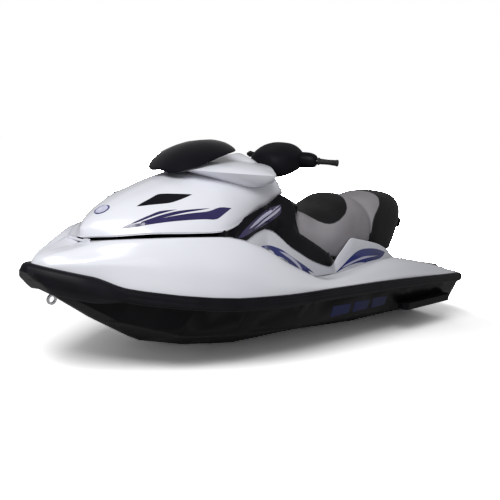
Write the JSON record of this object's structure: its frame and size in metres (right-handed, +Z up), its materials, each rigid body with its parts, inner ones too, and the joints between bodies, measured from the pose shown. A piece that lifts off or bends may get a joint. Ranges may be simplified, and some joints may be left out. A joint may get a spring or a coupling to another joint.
{
  "type": "personal watercraft",
  "caption": "Sit-down runabout watercraft with a black V hull, white deck and opening hood, stepped seat, handlebar steering and a jet pump with steering nozzle and reverse bucket.",
  "frame": {"origin": "under the middle of the craft's box, on the floor that the keel stands on", "axes": "+X to the bow, +Y to port, +Z up"},
  "size_m": [3.22, 1.1806, 1.138],
  "materials": {
    "gelcoat_white": "glossy white gelcoat",
    "hull_black": "glossy black gelcoat",
    "bumper_black": "satin black rubber",
    "trim_black": "satin black moulded plastic",
    "pad_black": "soft matt black padding",
    "mat_black": "embossed foam mat",
    "vinyl_grey": "stitched grey vinyl",
    "pump_alloy": "cast and brushed alloy",
    "steel": "polished stainless steel",
    "mirror_glass": "mirror",
    "gauge_face": "dark gauge glass",
    "engine_metal": "plain block"
  },
  "bodies": {
    "root": {"hull": "hull_black", "deck": "gelcoat_white", "foredeck": "gelcoat_white", "rub_rail_port": "bumper_black", "rub_rail_starboard": "bumper_black", "bow_bumper": "bumper_black", "side_panel_port": "trim_black", "side_panel_starboard": "trim_black", "gauge_display": "gauge_face", "steering_support": "trim_black", "shift_lever": "trim_black", "footwell_mat_port": "mat_black", "footwell_mat_starboard": "mat_black", "rear_deck_mat": "mat_black", "bow_eye": "steel", "stern_eyes": "steel", "sponson_port": "trim_black", "sponson_starboard": "trim_black", "intake_grate": "pump_alloy", "ride_plate": "pump_alloy", "pump_housing": "pump_alloy", "pump_nozzle": "pump_alloy", "engine": "engine_metal", "hood_hinge": "steel"},
    "hood": {"hood": "gelcoat_white", "visor": "trim_black", "mirror_pod_port": "gelcoat_white", "mirror_pod_starboard": "gelcoat_white", "mirror_glass_port": "mirror_glass", "mirror_glass_starboard": "mirror_glass", "hood_vent_port": "trim_black", "hood_vent_starboard": "trim_black"},
    "steering": {"handlebar": "steel", "steering_pad": "pad_black", "grip_port": "pad_black", "grip_starboard": "pad_black", "switch_housing_port": "trim_black", "switch_housing_starboard": "trim_black", "throttle_lever": "trim_black"},
    "jet_nozzle": {"jet_nozzle": "pump_alloy"},
    "reverse_bucket": {"reverse_bucket": "trim_black"},
    "impeller": {"impeller": "steel", "drive_shaft": "steel"},
    "seat": {"driver_seat": "vinyl_grey", "passenger_seat": "vinyl_grey", "grab_handle": "trim_black"}
  },
  "joints": [
    {"name": "hood_hinge", "type": "hinge", "parent": "root", "child": "hood", "pos_m": [1.32976, 0, 0.6248], "axis": [0, 1, 0], "range_deg": [0, 60]},
    {"name": "steering", "type": "hinge", "parent": "root", "child": "steering", "pos_m": [0.0322, 0, 0.8344], "axis": [-0.3907, 0, 0.9205], "range_deg": [-22, 22]},
    {"name": "nozzle_steer", "type": "hinge", "parent": "root", "child": "jet_nozzle", "pos_m": [-1.439, 0, 0.14], "axis": [0, 0, 1], "range_deg": [-20, 20]},
    {"name": "bucket_drop", "type": "hinge", "parent": "root", "child": "reverse_bucket", "pos_m": [-1.407, 0, 0.14], "axis": [0, -1, 0], "range_deg": [0, 80]},
    {"name": "impeller_spin", "type": "hinge", "parent": "root", "child": "impeller", "pos_m": [-1.412, 0, 0.14], "axis": [1, 0, 0], "continuous": true},
    {"name": "seat_lift", "type": "slide", "parent": "root", "child": "seat", "axis": [-0.5, 0, 0.866], "range_m": [0, 0.25]}
  ],
  "couplings": [
    {"joint": "nozzle_steer", "follows": "steering", "ratio": -0.9}
  ]
}
